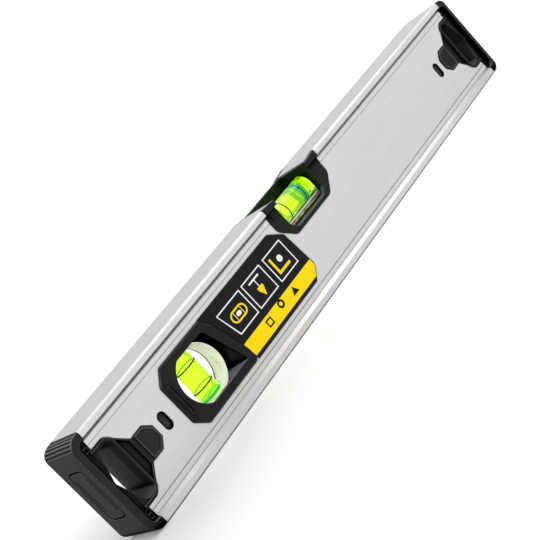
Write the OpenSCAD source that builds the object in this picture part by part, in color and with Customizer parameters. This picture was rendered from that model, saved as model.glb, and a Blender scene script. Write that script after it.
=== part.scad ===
// Box beam spirit level: an aluminium box extrusion with a level vial in its top
// edge, a plumb vial in its web, and two clip-on end caps with a hang hole.
// The beam lies along X, its front looks towards -Y, and it rests on Z = 0.
// Every end-cap measure along X counts from the end of the beam, inwards.

/* [Overall size] */
// Length over both end caps
total_l = 400; // [340:10:600]
// Height of the beam between its two working faces
beam_h = 60; // [60:1:72]
// Thickness of the beam across its rails
beam_t = 32; // [30:1:38]

/* [Beam profile] */
// Height of the flat face of each rail
rail_h = 3.8; // [3:0.1:4.4]
// Distance of the webs behind the rails
web_recess = 2.5; // [2:0.1:3]
// Height of the slope between a rail and its band
slope_h = 1.8; // [1:0.1:2.2]
// Height of the flat band next to the slope
band_h = 2.8; // [1.5:0.1:3]
// Step from the band down to the web
band_step = 0.3; // [0.2:0.1:0.5]
// Wall of the two webs
web_wall = 2; // [1.6:0.1:2.4]
// Wall of the top and bottom
edge_wall = 3.2; // [2.8:0.1:4]
// Bevel along the two upper edges
top_bevel = 1; // [0.6:0.1:1.8]
// Bevel along the two lower edges
foot_bevel = 0.5; // [0.3:0.1:1]
// Radius in the corners of the hollow
hollow_r = 1.5; // [1:0.1:2.5]

/* [End caps] */
// How far a cap stands past the end of the beam
cap_end = 8.5; // [8:0.5:11]
// How far a cap stays inside the working faces
cap_inset = 0.3; // [0.1:0.1:0.6]
// Radius of the outer corners, seen from the front
cap_corner_r = 6.5; // [5:0.5:7]
// Radius of the long edges of the end face
cap_edge_r = 1.4; // [0.8:0.1:2]
// Width of the raised rim along the end
rim_w = 3.2; // [2.4:0.1:3.6]
// Height of the arms along the rails
arm_h = 4.3; // [3.8:0.1:5]
// Depth of the floor behind the rim
rim_depth = 3.1; // [2.6:0.1:3.6]
// Side of the four small slots in that floor
floor_slot_w = 2; // [1.4:0.1:2.2]
// Depth of those slots
floor_slot_depth = 1; // [0.5:0.1:1.4]
// Number of grip grooves around each corner
groove_n = 5; // [3:1:5]
// Distance from one grip groove to the next, around the corner
groove_pitch = 2; // [1.8:0.1:2.4]
// Radius of a grip groove
groove_r = 0.6; // [0.3:0.05:0.6]
// Length of the tongue inside the beam
tongue_l = 15.5; // [12:0.5:16]
// Wall of the tongue
tongue_wall = 2; // [1.6:0.1:2.4]
// Length of the outlined pad on the end face
pad_l = 31; // [24:1:36]
// Width of the outlined pad
pad_w = 17; // [12:1:19]
// Width of the groove around the pad
pad_line = 1; // [0.5:0.1:1.2]
// Depth of the groove around the pad
pad_depth = 0.8; // [0.3:0.1:1]

/* [Cap flange and hang hole] */
// Distance of the flange's level edges from the bands
flange_margin = 2.6; // [1.6:0.1:3.1]
// Length of the flange's level edges
flange_flat = 7.4; // [6:0.2:8]
// Radius where the level edges turn
flange_r = 3; // [2:0.2:4]
// Width of the raised line around the hang hole
lip_w = 0.9; // [0.6:0.1:1.2]
// Height of that raised line
lip_rise = 0.6; // [0.3:0.1:0.8]
// Distance of the raised line from the beam's end
lip_reach = 10.9; // [10.5:0.1:11.4]
// Reach of the hang hole's blunt point past the beam's end
hang_out = 3.4; // [2.6:0.1:3.8]
// Distance of its two upright ends' outer corners from the beam's end
hang_heel = 2.2; // [1.6:0.1:2.6]
// Radius in the corners of the hang hole
hang_r = 3.2; // [2:0.1:3.4]
// Height of the flange above the hang hole
hang_margin = 2.4; // [2:0.1:5]
// How far the hang hole narrows behind its mouths
hang_draft = 0.7; // [0.4:0.1:1]
// Depth of those mouths
hang_mouth = 6; // [4:0.5:8]
// Wall around the hang hole
hang_wall = 1.8; // [1.2:0.1:2]

/* [Latches] */
// Half height of a latch button
button_half = 7.8; // [7:0.2:9]
// Distance of the latch's pivot from the beam's end
pivot_u = 18.6; // [18.2:0.1:19]
// Radius of the pivot barrel
pivot_r = 1.1; // [0.9:0.05:1.2]
// Running clearance around the barrel
pivot_gap = 0.08; // [0.05:0.01:0.1]
// Distance of the button's free edge from the beam's end
button_end = 30.2; // [29:0.2:31]
// Bevel of the button's corners
button_cut = 4.4; // [3:0.2:5]
// Radius of its outer corners
button_r = 1.4; // [0.8:0.1:1.6]
// Width of the border around its ribbed field
button_border = 1; // [0.6:0.1:1.2]
// Depth of that field
field_depth = 0.3; // [0.2:0.05:0.4]
// How far the button stands proud of the web
button_rise = 0.7; // [0.4:0.1:1]
// Clearance around the button and the catch
button_gap = 0.3; // [0.25:0.05:0.4]
// Number of fine ribs on the button
rib_n = 9; // [5:1:11]
// Height of a fine rib
rib_rise = 0.3; // [0.2:0.05:0.4]
// Distance of the catch slot from the beam's end
slot_u = 36.8; // [36.6:0.2:38]
// Width of the catch slot
slot_w = 5.6; // [5:0.2:6]
// Height of the catch slot
slot_h = 10.4; // [9:0.2:12]
// Depth of the catch in its slot
catch_sink = 1; // [0.8:0.1:1.2]
// Bevel around the catch's face
catch_bevel = 0.7; // [0.4:0.1:0.8]
// Thickness of the latch arm behind the web
latch_arm = 1.6; // [1.2:0.1:2]

/* [Plumb vial] */
// Distance of the plumb vial from the beam's end
plumb_u = 69.5; // [66:0.5:74]
// How far the bezel covers the edge of the clear block
block_cover = 0.7; // [0.5:0.1:1.2]
// Thickness of the clear block
block_t = 24; // [20:0.5:25]
// Distance of a bezel from the bands
bezel_margin = 3; // [2.4:0.1:3.4]
// Height of the bezel above its opening
eye_wall = 4.7; // [4.2:0.1:5.4]
// How far the round opening reaches past its two flats
eye_flat = 1.3; // [1:0.1:1.6]
// Reach of a bezel towards the near end cap
bezel_near = 22.9; // [22:0.1:24]
// Reach towards the middle, at the top
bezel_far_top = 17.7; // [17.4:0.1:18.5]
// Reach towards the middle, at the bottom
bezel_far_foot = 29.3; // [28:0.1:30]
// Share of the difference between them that the far side's upper part makes up
bezel_lean_share = 0.42; // [0.3:0.02:0.5]
// Bevel of the bezel's corners
bezel_cut = 7; // [6:0.2:8]
// How far a bezel stands proud of the web
bezel_rise = 0.8; // [0.5:0.1:1.2]
// Side of the square bar that stands beside the opening, half sunk
bezel_bar_w = 1.6; // [1:0.1:2]
// Width and depth of the groove along that bar
bezel_line = 0.7; // [0.4:0.1:0.8]
// Radius of the plumb vial's bore
plumb_bore_r = 7.4; // [6.4:0.1:7.8]
// Clear wall over the end of the bore
bore_wall = 2.4; // [2:0.1:3.6]
// Distance between its two rings
plumb_ring_gap = 12.8; // [11:0.2:13.4]
// Length of its bubble
plumb_bubble_l = 12; // [9:0.5:12]
// Width of the green band at its lower end
plumb_band_w = 1.6; // [1.2:0.1:3]

/* [Level vial] */
// Width of the vial housing
house_w = 56.4; // [54:0.2:60]
// Height of the vial housing, down from the top
house_h = 24.6; // [24:0.2:26.4]
// Bevel of the housing's lower corners
house_cut = 9.6; // [8:0.2:10]
// Radius where that bevel ends
house_r = 4.5; // [2:0.5:5]
// Width of the window between the ears
window_w = 35; // [34:0.5:37]
// Thickness of the housing's floor
house_floor = 3.2; // [2.6:0.1:3.6]
// Bevel of the window's lower corners
window_cut = 3.6; // [2:0.2:4.4]
// Bevel around the window's edge
window_edge = 0.8; // [0.4:0.1:1]
// Height of the bar over the back window
bar_h = 9.6; // [8:0.2:9.8]
// Wall of the housing
house_wall = 2; // [1.6:0.1:2.4]
// How far the housing's face stands proud of the web
house_rise = 0.5; // [0.3:0.1:0.8]
// Height of an ear on the rail
ear_h = 4; // [3.4:0.1:4.4]
// Drop of the ramps beside the window
ramp_drop = 1.2; // [0.6:0.1:1.6]
// Outer radius of the level vial
level_r = 7.2; // [6.8:0.1:7.4]
// Height of its axis above the housing's floor
level_lift = 8.2; // [8:0.1:8.6]
// Clearance of the level vial in the window
level_gap = 0.3; // [0.2:0.05:0.6]
// Radius of its bore
level_bore_r = 5.6; // [5:0.1:5.8]
// Distance of the bore's middle from the middle of the window
level_shift = 2.4; // [1:0.2:2.8]
// How far the vial's bay reaches past the window at each end
bay_reach = 1.5; // [0.5:0.1:1.5]
// Distance between its two rings
level_ring_gap = 16.6; // [15:0.2:17]
// Length of its bubble
level_bubble_l = 14.6; // [12:0.2:14.8]
// Width of its green band
level_band_w = 4.8; // [4:0.2:6]
// Distance of the band's middle from the bore's middle
level_band_x = 8.2; // [7:0.2:9]
// Side of the small square under the front window's near ear
chip_w = 4; // [3:0.2:5]
// Rise of that square
chip_rise = 0.6; // [0.3:0.1:0.8]

/* [Label] */
// Thickness of the label
label_t = 0.25; // [0.15:0.05:0.4]
// Distance of the label from the bands
label_margin = 2.7; // [2.6:0.1:3.4]
// Distance of the label's far end from the middle of the beam
label_end = 26; // [25.6:0.1:32]
// How much nearer to the middle its lower corner is
label_lean = 2; // [0:0.1:2.4]
// Gap between the label and the bezel
label_gap = 0.4; // [0.1:0.1:0.6]

/* [Hidden] */

$fn = 48;
// Overrun of a cut past the face that it opens
over = 1;
// Clearance of a part that sits in a cut-out of the beam
fit = 0.15;
// Clearance between liquid, bubble and the walls that hold them
film = 0.15;
// Segments in a rounded corner
corner_n = 5;

beam_l = total_l - 2 * cap_end;
mid_z = beam_h / 2;
front = beam_t / 2;
web_y = front - web_recess - band_step;
hollow_y = web_y - web_wall;
band_y = front - web_recess;
web_half = mid_z - rail_h - slope_h - band_h;

// What the height of the web gives
flange_half = web_half - flange_margin;
hang_half = flange_half - hang_margin;
bezel_half = web_half - bezel_margin;
eye_half = bezel_half - eye_wall;
eye_r = eye_half + eye_flat;
block_r = eye_r + block_cover;
plumb_bore_l = 2 * (block_r - bore_wall);
label_half = web_half - label_margin;
plumb_x = beam_l / 2 - plumb_u;
bay_half = window_w / 2 + bay_reach;
level_l = 2 * (bay_half - level_gap);
house_foot = beam_h - house_h;

// Depth of the gap where front and back pieces meet in the middle of the beam
seam = 0.05;
// How far a bezel's flange overlaps the web around its body, and its corner radius
core_margin = 1.6;
core_r = 2;
// How far the vial's box stays inside the bevels of the housing's face
core_inset = 0.5;

// Colours of the materials
alloy = [0.78, 0.79, 0.80];
black = [0.13, 0.13, 0.14];
dark = [0.2, 0.2, 0.21];
clear = [0.9, 0.95, 0.95, 0.4];
lime = [0.8, 0.93, 0.15, 0.7];
green = [0.1, 0.6, 0.25];
ink = [0.05, 0.05, 0.05];

function unit(v) = v / norm(v);
function turn(p, q, s) = sign((q.x - p.x) * (s.y - q.y) - (q.y - p.y) * (s.x - q.x));

// An arc of radius r that rounds the corner q between its neighbours p and s
function fillet(p, q, s, r) =
    let (a = unit(p - q), b = unit(s - q), half = acos(a * b) / 2)
    let (centre = q + unit(a + b) * r / sin(half), start = q + a * r / tan(half) - centre)
    let (from = atan2(start.y, start.x), sweep = turn(p, q, s) * (180 - 2 * half))
    [for (i = [0:corner_n]) centre + r * [cos(from + sweep * i / corner_n),
                                          sin(from + sweep * i / corner_n)]];

// A closed outline from corners [x, y, r], where r rounds the corner and 0 keeps it sharp
function rounded(c) =
    let (n = len(c))
    [for (i = [0:n - 1])
        let (p = c[(i + n - 1) % n], q = c[i], s = c[(i + 1) % n])
        each q[2] > 0
            ? fillet([p.x, p.y], [q.x, q.y], [s.x, s.y], q[2])
            : [[q.x, q.y]]];

// A bevelled corner's cut in an outline that is moved inwards by inset
function inset_cut(cut, inset) = cut - inset * (2 - sqrt(2));

// The lower half of an outline that is the same above and below its axis
function mirrored(c) = concat(c, [for (i = [len(c) - 1:-1:0]) [c[i].x, -c[i].y, c[i][2]]]);

// An XZ outline, solid from y0 to y1
module across(y0, y1) {
    translate([0, y1, 0]) rotate([90, 0, 0]) linear_extrude(y1 - y0) children();
}

// The same outline on the front and on the back, between two depths from the middle
module both_sides(inner, outer) {
    across(-outer, -inner) children();
    across(inner, outer) children();
}

module at_plumb() {
    translate([-plumb_x, 0, mid_z]) children();
}

// Places a left end-cap piece, whose x counts from the beam's end and z from mid-height
module at_left() {
    translate([-beam_l / 2, 0, mid_z]) children();
}
module at_right() {
    mirror([1, 0, 0]) at_left() children();
}

// Beam

// Half of the extrusion's outline, as y and z from the top to the bottom
function beam_side(s) =
    let (slope_top = beam_h - rail_h, band_top = slope_top - slope_h, web_top = band_top - band_h)
    let (web_foot = rail_h + slope_h + band_h)
    [[s * (front - top_bevel), beam_h],
     [s * front, beam_h - top_bevel],
     [s * front, slope_top],
     [s * band_y, band_top],
     [s * band_y, web_top],
     [s * web_y, web_top],
     [s * web_y, web_foot],
     [s * band_y, web_foot],
     [s * band_y, web_foot - band_h],
     [s * front, rail_h],
     [s * front, foot_bevel],
     [s * (front - foot_bevel), 0]];

function reversed(a) = [for (i = [len(a) - 1:-1:0]) a[i]];

hollow_h = beam_h - 2 * edge_wall;

// Section of the hollow around its middle, moved inwards by inset
module hollow_outline(inset) {
    y = hollow_y - inset;
    half = hollow_h / 2 - inset;
    polygon(rounded([[-y, -half, hollow_r], [y, -half, hollow_r],
                     [y, half, hollow_r], [-y, half, hollow_r]]));
}

module beam_section() {
    difference() {
        polygon(concat(beam_side(-1), reversed(beam_side(1))));
        translate([0, mid_z]) hollow_outline(0);
    }
}

// The web's cut-out for a cap's flange and latch button, grown by c
module flange_cut(c) {
    polygon(rounded(mirrored([
        [-over, -flange_half - c, 0],
        [flange_flat + c, -flange_half - c, flange_r],
        [pivot_u - pivot_r, -button_half - c, 0],
        [button_end + c - button_cut, -button_half - c, 0],
        [button_end + c, -button_half - c + button_cut, 0]])));
}

// A rounded bar of width w and height h, upright on its axis
module stadium(w, h) {
    for (s = [-1, 1]) translate([0, s * (h - w) / 2]) circle(d = w);
    square([w, h - w], center = true);
}

module beam_end_cuts() {
    both_sides(hollow_y - over, front + over) {
        flange_cut(fit);
        translate([slot_u, 0]) stadium(slot_w, slot_h);
    }
}

// Outline of a plumb bezel around the eye's centre, moved inwards by inset:
// bevelled near corners, and a far side that leans out towards the bottom
module bezel_outline(inset) {
    near = bezel_near - inset;
    half = bezel_half - inset;
    cut = inset_cut(bezel_cut, inset);
    step = (bezel_far_foot - bezel_far_top) * bezel_lean_share;
    polygon(rounded([
        [-near, half - cut, core_r], [-near, -half + cut, core_r],
        [-near + cut, -half, core_r], [bezel_far_foot - inset, -half, core_r],
        [bezel_far_foot - inset, -half + bezel_cut, 0],
        [bezel_far_top + step - inset, half - bezel_cut, 0],
        [bezel_far_top - inset, half, 0], [-near + cut, half, core_r]]));
}

// Outline of the box around the vial's bay, grown by c: narrower in the beam's top wall
module level_core(c) {
    w = bay_half + house_wall + c;
    foot = house_foot + house_floor - house_wall - c;
    shoulder = beam_h - edge_wall - fit + c;
    cut = w - foot - (house_w / 2 - house_cut - house_foot) + sqrt(2) * (core_inset - c);
    for (s = [0, 1]) mirror([s, 0]) polygon([
        [-seam, foot], [w - cut, foot], [w, foot + cut], [w, shoulder],
        [w - bay_reach, shoulder], [w - bay_reach, beam_h + over], [-seam, beam_h + over]]);
}

// The ramps that lead down to the window across the top
module top_ramps() {
    across(-front - over, front + over)
        polygon([[-house_w / 2, beam_h], [-house_w / 2, beam_h + over],
                 [house_w / 2, beam_h + over], [house_w / 2, beam_h],
                 [window_w / 2, beam_h - ramp_drop], [-window_w / 2, beam_h - ramp_drop]]);
}

// The notch in each rail that an ear and the face of the housing fill
module rail_notch() {
    both_sides(web_y, front + over)
        translate([-house_w / 2 - fit, mid_z])
            square([house_w + 2 * fit, mid_z + over]);
}

module beam() {
    color(alloy) difference() {
        rotate([90, 0, 90]) linear_extrude(beam_l, center = true) beam_section();
        at_left() beam_end_cuts();
        at_right() beam_end_cuts();
        at_plumb() across(-front, front) bezel_outline(core_margin - fit);
        across(-front, front) level_core(fit);
        top_ramps();
        rail_notch();
    }
}

// End caps

cap_half = mid_z - cap_inset;
floor_y = front - rim_depth;

module cap_block() {
    intersection() {
        across(-front + cap_inset, front - cap_inset)
            polygon(rounded(mirrored([
                [0, -cap_half, 0],
                [-cap_end, -cap_half, cap_corner_r]])));
        translate([0, 0, -cap_half]) linear_extrude(2 * cap_half)
            polygon(rounded(mirrored([
                [0, -front + cap_inset, 0],
                [-cap_end, -front + cap_inset, cap_edge_r]])));
    }
}

// The floor behind the rim, open towards the beam
module rim_pocket() {
    both_sides(floor_y, front + over)
        polygon(rounded(mirrored([
            [over, -cap_half + arm_h, 0],
            [-cap_end + rim_w, -cap_half + arm_h, rim_w]])));
}

// Place on the cap's outer edge, at distance t from the beam along the level edge and the corner
function edge_place(t) =
    let (level = cap_end - cap_corner_r, a = max(0, t - level) / cap_corner_r * 180 / PI)
    [-min(t, level) - cap_corner_r * sin(a), cap_half - cap_corner_r * (1 - cos(a))];

// Grip grooves that run through the thickness around both outer corners
module corner_grooves() {
    for (s = [-1, 1], i = [0:groove_n - 1])
        let (place = edge_place(2 * groove_r + i * groove_pitch))
        translate([place.x, 0, s * place.y])
            rotate([90, 0, 0])
                cylinder(r = groove_r, h = 2 * (front - cap_edge_r), center = true, $fn = 6);
}

// Two blind slots in each corner of the floor behind the rim
module floor_slots() {
    both_sides(floor_y - floor_slot_depth, floor_y + over)
        for (s = [-1, 1], i = [1, 2])
            translate([-floor_slot_w, s * (cap_half - arm_h - i * (floor_slot_w + groove_r))])
                square(floor_slot_w, center = true);
}

module pad_outline(inset) {
    r = pad_w / 4 - inset;
    polygon(rounded([
        [-pad_w / 2 + inset, -pad_l / 2 + inset, r],
        [pad_w / 2 - inset, -pad_l / 2 + inset, r],
        [pad_w / 2 - inset, pad_l / 2 - inset, r],
        [-pad_w / 2 + inset, pad_l / 2 - inset, r]]));
}

// The groove around the pad, and a short line along each of its sides
module pad_groove() {
    translate([-cap_end, 0, 0]) rotate([90, 0, 90])
        linear_extrude(2 * pad_depth, center = true) {
            difference() {
                pad_outline(0);
                pad_outline(pad_line);
            }
            for (s = [-1, 1])
                translate([s * (pad_w / 2 - 3 * pad_line), 0])
                    square([pad_line, pad_l * 2 / 3], center = true);
        }
}

// The hang hole's outline: a straight side along the raised line, and a blunt point
// towards the end
hang_in = lip_reach - lip_w;

module hang_shape(grow) {
    polygon(rounded([
        [-hang_out - grow, 0, hang_r + grow],
        [hang_heel, -hang_half - grow, hang_r + grow],
        [hang_in + grow, -hang_half - grow, hang_r + grow],
        [hang_in + grow, hang_half + grow, hang_r + grow],
        [hang_heel, hang_half + grow, hang_r + grow]]));
}

// The hole goes straight through, and widens towards both mouths
module hang_hole() {
    inner_y = web_y - hang_mouth;
    across(-inner_y, inner_y) hang_shape(-hang_draft);
    for (s = [0, 1]) mirror([0, s, 0]) hull() {
        across(-front - over, -web_y) hang_shape(0);
        across(-inner_y - seam, -inner_y) hang_shape(-hang_draft);
    }
}

// Flange plates in the webs' cut-outs, down to the tongue behind them
module flange_plates() {
    both_sides(hollow_y - fit - tongue_wall, web_y)
        intersection() {
            flange_cut(0);
            translate([-over, -beam_h / 2]) square([over + pivot_u - pivot_r / 2, beam_h]);
        }
}

module lip_outline(inset) {
    reach = lip_reach - inset;
    half = flange_half - lip_w - inset;
    polygon(rounded(mirrored([
        [-rim_w / 2, -half, 0],
        [reach - lip_w * 3, -half, flange_r / 2],
        [reach, -half + lip_w * 3, flange_r / 2]])));
}

module lip() {
    both_sides(web_y - over, web_y + lip_rise) difference() {
        lip_outline(0);
        lip_outline(lip_w);
    }
}

// The hollow between the raised line and the latch
module neck_pocket() {
    neck_half = flange_half - 2 * lip_w;
    both_sides(web_y - web_wall / 2, front) polygon([
        [lip_reach + lip_w / 2, -neck_half + 4 * lip_w],
        [pivot_u - 2 * pivot_r, -button_half],
        [pivot_u - 2 * pivot_r, button_half],
        [lip_reach + lip_w / 2, neck_half - 4 * lip_w]]);
}

module tongue() {
    rotate([90, 0, 90]) difference() {
        translate([0, 0, -over]) linear_extrude(over + tongue_l) hollow_outline(fit);
        linear_extrude(tongue_l + over) hollow_outline(fit + tongue_wall);
    }
}

module latch_pivots(r) {
    for (s = [-1, 1]) translate([pivot_u, s * (web_y - pivot_r), 0])
        cylinder(r = r, h = 2 * flange_half, center = true);
}

module end_cap() {
    difference() {
        union() {
            difference() {
                cap_block();
                rim_pocket();
                floor_slots();
                corner_grooves();
                pad_groove();
            }
            tongue();
            flange_plates();
            lip();
            across(-hollow_y + fit, hollow_y - fit) hang_shape(hang_wall);
        }
        hang_hole();
        neck_pocket();
        latch_pivots(pivot_r + pivot_gap);
    }
}

module left_end_cap() {
    color(black) at_left() end_cap();
}
module right_end_cap() {
    color(black) at_right() end_cap();
}

// Latches

button_y = web_y + button_rise;
latch_y = hollow_y - fit;

// The latch's outline in the web's cut-out, moved inwards by inset
module button_face(inset) {
    end = button_end - button_gap + fit - inset;
    half = button_half - button_gap + fit - inset;
    cut = inset_cut(button_cut, inset);
    polygon(rounded([
        [pivot_u + inset, -half, 0], [end - cut, -half, button_r], [end, -half + cut, button_r],
        [end, half - cut, button_r], [end - cut, half, button_r], [pivot_u + inset, half, 0]]));
}

// Fine ribs across the sunk field inside the button's border
module button_ribs() {
    first = pivot_u + 2 * button_border;
    pitch = (button_end - button_cut / 2 - first) / rib_n;
    for (i = [0:rib_n - 1])
        translate([first + (i + 1 / 2) * pitch, -button_y + field_depth, 0])
            rotate([0, 0, 45])
                cube([rib_rise, rib_rise, 2 * (button_half - button_cut / 2)], center = true);
}

// The front latch of the left cap: button, pivot barrel, arm and catch
module latch() {
    half = button_half - button_gap + fit;
    across(-web_y, -latch_y) button_face(0);
    difference() {
        across(-button_y, -web_y) button_face(button_rise / 2);
        across(-button_y - over, -button_y + field_depth)
            button_face(button_rise / 2 + button_border);
    }
    button_ribs();
    translate([pivot_u, -web_y + pivot_r, 0]) cylinder(r = pivot_r, h = 2 * half, center = true);
    translate([pivot_u + 3 * pivot_r, -latch_y, -slot_h / 2])
        cube([slot_u + slot_w / 2 - pivot_u - 3 * pivot_r, latch_arm, slot_h]);
    catch_w = slot_w - 2 * button_gap;
    catch_h = slot_h - 2 * button_gap;
    translate([slot_u, 0, 0]) hull() {
        across(-web_y + catch_sink + catch_bevel, -latch_y)
            stadium(catch_w, catch_h);
        across(-web_y + catch_sink, -latch_y)
            stadium(catch_w - 2 * catch_bevel, catch_h - 2 * catch_bevel);
    }
}

module left_front_latch() {
    color(dark) at_left() latch();
}
module left_back_latch() {
    color(dark) mirror([0, 1, 0]) at_left() latch();
}
module right_front_latch() {
    color(dark) at_right() latch();
}
module right_back_latch() {
    color(dark) mirror([0, 1, 0]) at_right() latch();
}

// Plumb vial

block_y = block_t / 2;

module eye() {
    intersection() {
        circle(r = eye_r, $fn = 96);
        square([2 * eye_r, 2 * eye_half], center = true);
    }
}

// The finger-wide slope from the bezel's face down to the far side of the clear block
module eye_pocket() {
    far_foot = bezel_far_foot - 2 * core_r;
    far_top = bezel_far_top - core_r / 2;
    hull() {
        across(-web_y - bezel_rise - over, -web_y - bezel_rise) polygon([
            [0, -eye_half], [far_foot, -eye_half], [far_top, eye_half - core_r],
            [far_top - core_r, eye_half], [0, eye_half]]);
        across(-hollow_y, -hollow_y + block_y / 2) polygon([
            [0, -eye_half + core_r], [block_r + seam, -eye_half + core_r],
            [block_r + seam, eye_half - core_r], [0, eye_half - core_r]]);
    }
}

// The upright ridge beside the eye, and the groove along its inner side
ridge_x = -(bezel_near + eye_r) / 2 - core_r / 2;

module bezel_ridge() {
    translate([ridge_x, -web_y - bezel_rise, 0])
        rotate([0, 0, 45]) cube([bezel_bar_w, bezel_bar_w, bezel_half], center = true);
}

module ridge_groove() {
    translate([ridge_x + (bezel_bar_w + bezel_line) / sqrt(2), -web_y - bezel_rise, 0])
        cube([bezel_line, 2 * bezel_line, bezel_half], center = true);
}

module plumb_bezel() {
    at_plumb() difference() {
        union() {
            hull() {
                across(-web_y - bezel_rise, -web_y) bezel_outline(bezel_rise / 2);
                across(-web_y - bezel_rise / 2, -web_y) bezel_outline(0);
            }
            across(-web_y, -seam) bezel_outline(core_margin);
            bezel_ridge();
        }
        across(-front - over, 0) eye();
        across(-block_y - seam, over) circle(r = block_r + seam, $fn = 96);
        eye_pocket();
        ridge_groove();
    }
}

module plumb_front_bezel() {
    color(black) plumb_bezel();
}
module plumb_back_bezel() {
    color(black) mirror([0, 1, 0]) plumb_bezel();
}

// A bore is closed at one end and plugged at the other; its axis is Z and its middle Z = 0
plug_l = 2;
ring_w = 0.5;
ring_t = 0.25;

module plug_shape(r, l) {
    translate([0, 0, -l / 2 - plug_l]) cylinder(r = r, h = plug_l - film);
}

// A hoop inside radius r, w wide and t thick, at height z
module hoop(r, z, w, t) {
    translate([0, 0, z]) difference() {
        cylinder(r = r, h = w, center = true);
        cylinder(r = r - t, h = w + over, center = true);
    }
}

module ring_pair(r, gap) {
    for (s = [-1, 1]) hoop(r - seam, s * gap / 2, ring_w, ring_t);
}

// A bar with round ends along Z
module capsule(r, l) {
    cylinder(r = r, h = l - 2 * r, center = true);
    for (s = [-1, 1]) translate([0, 0, s * (l / 2 - r)]) sphere(r = r);
}

// Radius of a bubble as a share of the bore's, and its distance from the bore's axis
bubble_share = 0.5;
function bubble_off(r) = (1 - bubble_share) * r - 2 * ring_t - 2 * film;

// The liquid fills the bore, apart from grooves for the rings and the bubble's way at +X
module spirit_shape(r, l, gap) {
    difference() {
        cylinder(r = r - seam, h = l - 2 * film, center = true);
        translate([bubble_off(r), 0, 0]) capsule(bubble_share * r + film, l - 4 * film);
        for (s = [-1, 1]) hoop(r, s * gap / 2, ring_w + 2 * seam, ring_t + 2 * seam);
    }
}

// The green band inside the rings, a seam away from them
band_t = 0.15;
function band_r(r) = r - 3 * seam - ring_t;

module band_groove(r, z, w) {
    hoop(r, z, w + 2 * seam, r - band_r(r) + band_t + seam);
}

module plumb_block() {
    color(clear) at_plumb() difference() {
        across(-block_y, block_y) circle(r = block_r, $fn = 96);
        cylinder(r = plumb_bore_r, h = plumb_bore_l, center = true);
        translate([0, 0, -block_r]) cylinder(r = plumb_bore_r, h = block_r);
    }
}

module plumb_plug() {
    color(clear) at_plumb() intersection() {
        plug_shape(plumb_bore_r - seam, plumb_bore_l);
        across(-block_y, block_y) circle(r = block_r, $fn = 96);
    }
}

plumb_band_z = -plumb_bore_l / 2 + plumb_band_w / 2 + 2 * film;

module plumb_spirit() {
    color(lime) at_plumb() difference() {
        spirit_shape(plumb_bore_r, plumb_bore_l, plumb_ring_gap);
        band_groove(plumb_bore_r, plumb_band_z, plumb_band_w);
    }
}

module plumb_rings() {
    color(ink) at_plumb() ring_pair(plumb_bore_r, plumb_ring_gap);
}

module plumb_band() {
    color(green) at_plumb() hoop(band_r(plumb_bore_r), plumb_band_z, plumb_band_w, band_t);
}

// At rest on its lower working face the level's plumb bubble floats at the upper end
module plumb_bubble() {
    top = plumb_bore_l / 2 - 3 * film - plumb_bubble_l / 2;
    color(clear) at_plumb() translate([bubble_off(plumb_bore_r), 0, top])
        capsule(bubble_share * plumb_bore_r, plumb_bubble_l);
}

// Level vial

house_top = beam_h;
window_foot = house_foot + house_floor;
level_z = window_foot + level_lift;
house_y = web_y + house_rise;

module house_face(inset) {
    half = house_w / 2 - inset;
    foot = house_foot + inset;
    cut = inset_cut(house_cut, inset);
    polygon(rounded([
        [-half, house_top, 0], [-half, foot + cut, house_r], [-half + cut, foot, house_r],
        [half - cut, foot, house_r], [half, foot + cut, house_r], [half, house_top, 0]]));
}

module window(top, grow) {
    half = window_w / 2 + grow;
    foot = window_foot - grow;
    cut = inset_cut(window_cut, -grow);
    polygon(rounded([
        [-half, top, 0], [-half, foot + cut, core_r], [-half + cut, foot, core_r],
        [half - cut, foot, core_r], [half, foot + cut, core_r], [half, top, 0]]));
}

module ears() {
    for (s = [-1, 1])
        translate([s * (house_w + window_w) / 4, -(front + web_y) / 2, house_top - ear_h / 2])
            cube([(house_w - window_w) / 2, front - web_y, ear_h], center = true);
}

// Face, ears and a box that reaches to the middle of the beam and carries the vial
module level_frame(top) {
    difference() {
        union() {
            hull() {
                across(-house_y, -web_y) house_face(house_rise);
                across(-web_y - seam, -web_y) house_face(0);
            }
            ears();
            across(-web_y, -seam) intersection() {
                level_core(0);
                translate([-house_w, 0]) square([2 * house_w, house_top - ramp_drop]);
            }
        }
        across(-front - over, -hollow_y) window(top, 0);
        hull() {
            across(-house_y - seam, -house_y) window(top + window_edge, window_edge);
            across(-house_y, -house_y + window_edge) window(top, 0);
        }
        across(-hollow_y - seam, over) {
            translate([-window_w / 2, window_foot]) square([window_w, beam_h]);
            translate([-bay_half, window_foot])
                square([2 * bay_half, level_lift + level_r + level_gap]);
        }
        top_ramps();
    }
}

// The small raised square on the front face, under the ear towards the plumb vial
module chip() {
    translate([-(house_w + window_w) / 4, house_top - ear_h - chip_w / 2 - house_rise])
        square(chip_w, center = true);
}

module level_front_frame() {
    color(black) {
        level_frame(beam_h + over);
        across(-house_y - chip_rise, -house_y) chip();
    }
}
// Two small ribs under the bar over the back window
module bar_ribs() {
    for (s = [-1, 1])
        translate([s * window_w / 4, -hollow_y + seam, house_top - ramp_drop - bar_h / 2])
            cube([2 * chip_rise, 2 * chip_rise, bar_h - 2 * ramp_drop], center = true);
}

module level_back_frame() {
    color(black) mirror([0, 1, 0]) {
        level_frame(house_top - bar_h);
        bar_ribs();
    }
}

// The vial's bore lies along X: what is drawn along Z is laid down, its bubble side up
module at_level() {
    translate([0, 0, level_z]) rotate([0, -90, 0]) children();
}

// The bore stands off the window's middle, so its closed end is the thicker one
level_bore_l = level_l - 2 * plug_l - 2 * level_shift;
foot_half = level_r - seam;

module at_level_bore() {
    at_level() translate([0, 0, -level_shift]) children();
}

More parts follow.
